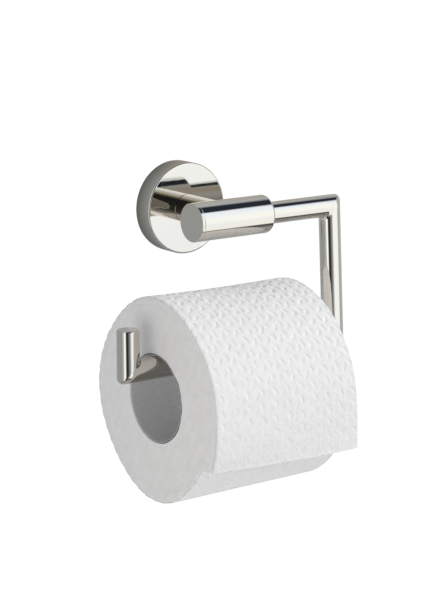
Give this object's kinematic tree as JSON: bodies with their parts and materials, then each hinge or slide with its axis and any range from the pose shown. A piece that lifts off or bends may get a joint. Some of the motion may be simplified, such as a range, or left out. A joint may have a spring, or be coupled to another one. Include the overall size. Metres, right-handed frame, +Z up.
{
  "type": "toilet paper holder",
  "caption": "Wall-mounted toilet paper holder: a round rose, post and barrel carry a mitred rod arm that swings out, with a paper roll hanging on its bar.",
  "frame": {"origin": "middle of the wall rose on the wall plane", "axes": "+X to the right seen from the room, +Y into the wall, +Z up"},
  "size_m": [0.1567, 0.1156, 0.1791],
  "materials": {
    "polished_steel": "polished",
    "plain_steel": "satin",
    "bush_plastic": "matte",
    "tissue": "matte",
    "core_board": "matte"
  },
  "bodies": {
    "holder": {"wall_plate": "plain_steel", "rose_cup": "polished_steel", "rose_grub_screw": "plain_steel", "post": "polished_steel", "post_washer": "plain_steel", "post_screw": "plain_steel", "barrel_tube": "polished_steel", "barrel_end_cap": "polished_steel", "arm_bush_outer": "bush_plastic", "arm_bush_inner": "bush_plastic"},
    "arm": {"upper_arm": "polished_steel", "drop_arm": "polished_steel", "roll_bar": "polished_steel", "end_stop": "polished_steel", "stop_end_cap": "polished_steel", "arm_plug": "plain_steel", "retaining_washer": "plain_steel", "retaining_screw": "plain_steel", "retaining_ring": "plain_steel"},
    "sheet": {"loose_sheet": "tissue"},
    "roll": {"roll_core": "core_board", "paper_winding": "tissue"}
  },
  "joints": [
    {"name": "arm_swing", "type": "hinge", "parent": "holder", "child": "arm", "pos_m": [0, -0.0535, 0], "axis": [-1, 0, 0], "range_deg": [0, 86.77]},
    {"name": "roll_hang", "type": "hinge", "parent": "arm", "child": "sheet", "pos_m": [0, -0.0579, -0.07788], "axis": [-1, 0, 0], "range_deg": [-86.77, 0]},
    {"name": "roll_spin", "type": "hinge", "parent": "sheet", "child": "roll", "pos_m": [0, -0.0579, -0.09573], "axis": [-1, 0, 0], "continuous": true}
  ],
  "couplings": [
    {"joint": "roll_hang", "follows": "arm_swing", "ratio": -1}
  ]
}
